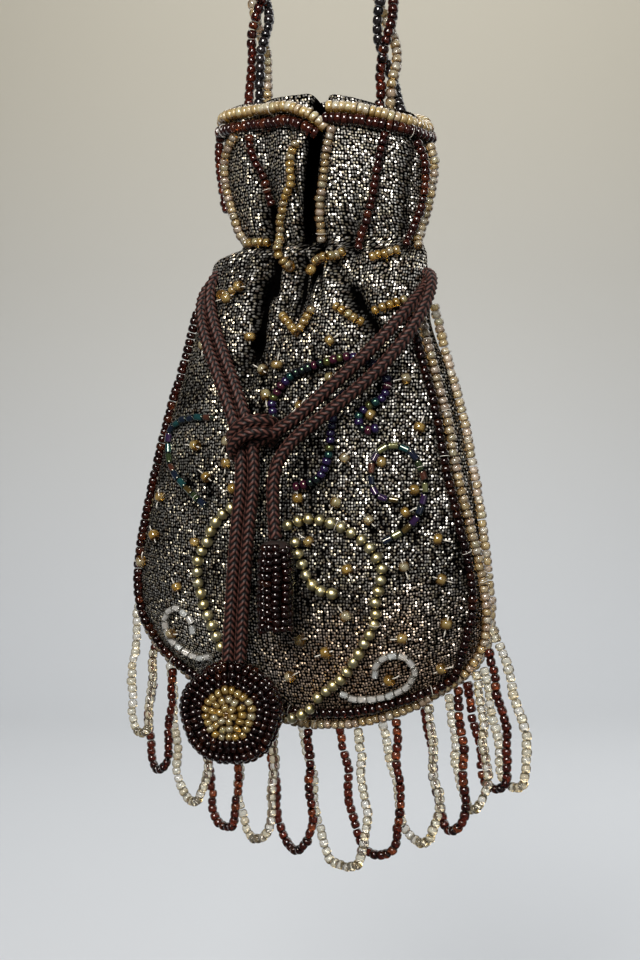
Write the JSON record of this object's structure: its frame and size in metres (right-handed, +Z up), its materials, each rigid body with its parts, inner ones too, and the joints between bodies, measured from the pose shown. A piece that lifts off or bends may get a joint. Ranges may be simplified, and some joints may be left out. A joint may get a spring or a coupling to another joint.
{
  "type": "beaded drawstring shoulder bag",
  "caption": "Small brocade drawstring pouch with beaded scrolls, looped bead fringe and a twisted bead strap.",
  "frame": {"origin": "top of the strap, where a shoulder or a hook carries the bag", "axes": "+Z up along the hanging strap, -Y towards the embroidered front, +X to the right seen from the front"},
  "size_m": [0.1119, 0.0392, 0.3917],
  "materials": {
    "brocade": "metallic brocade",
    "gold_bead": "lustred glass seed beads",
    "brown_bead": "clear brown glass seed beads",
    "dark_bead": "grey lustre seed beads",
    "metal_bead": "pale gilt round beads",
    "bugle_bead": "oil-slick bugle beads",
    "clear_bead": "clear rainbow bugle beads",
    "vine_bead": "dark rainbow seed beads",
    "cord": "braided cord"
  },
  "bodies": {
    "root": {"drawstring_knot": "cord", "drawstring_left_1": "cord", "drawstring_left_2": "cord", "drawstring_right_1": "cord", "drawstring_right_2": "cord", "edge_brown_front": "brown_bead", "edge_gold_back": "gold_bead", "edge_gold_front": "gold_bead", "fringe_loop_01": "gold_bead", "fringe_loop_02": "brown_bead", "fringe_loop_03": "gold_bead", "fringe_loop_04": "brown_bead", "fringe_loop_05": "gold_bead", "fringe_loop_06": "brown_bead", "fringe_loop_07": "gold_bead", "fringe_loop_08": "brown_bead", "fringe_loop_09": "gold_bead", "fringe_loop_10": "brown_bead", "fringe_loop_11": "gold_bead", "fringe_loop_12": "brown_bead", "fringe_loop_13": "gold_bead", "neck_brown_1": "brown_bead", "neck_brown_2": "brown_bead", "neck_brown_3": "brown_bead", "neck_gold_1": "gold_bead", "neck_gold_2": "gold_bead", "neck_gold_3": "gold_bead", "neck_gold_4": "gold_bead", "pouch_shell": "brocade", "rim_brown_left": "brown_bead", "rim_brown_right": "brown_bead", "rim_gold_left": "gold_bead", "rim_gold_right": "gold_bead", "rosette_heart": "gold_bead", "rosette_rings": "brown_bead", "scroll_bugle_left": "bugle_bead", "scroll_bugle_right": "bugle_bead", "scroll_clear_left": "clear_bead", "scroll_clear_right": "clear_bead", "scroll_gold_curl": "metal_bead", "scroll_gold_left": "metal_bead", "scroll_gold_right": "metal_bead", "strap_brown_strand": "brown_bead", "strap_dark_strand": "dark_bead", "strap_gold_strand": "gold_bead", "tail_rosette_1": "cord", "tail_rosette_2": "cord", "tail_tassel": "cord", "tassel": "brown_bead", "vine_lower": "vine_bead", "vine_upper": "vine_bead"}
  },
  "joints": []
}
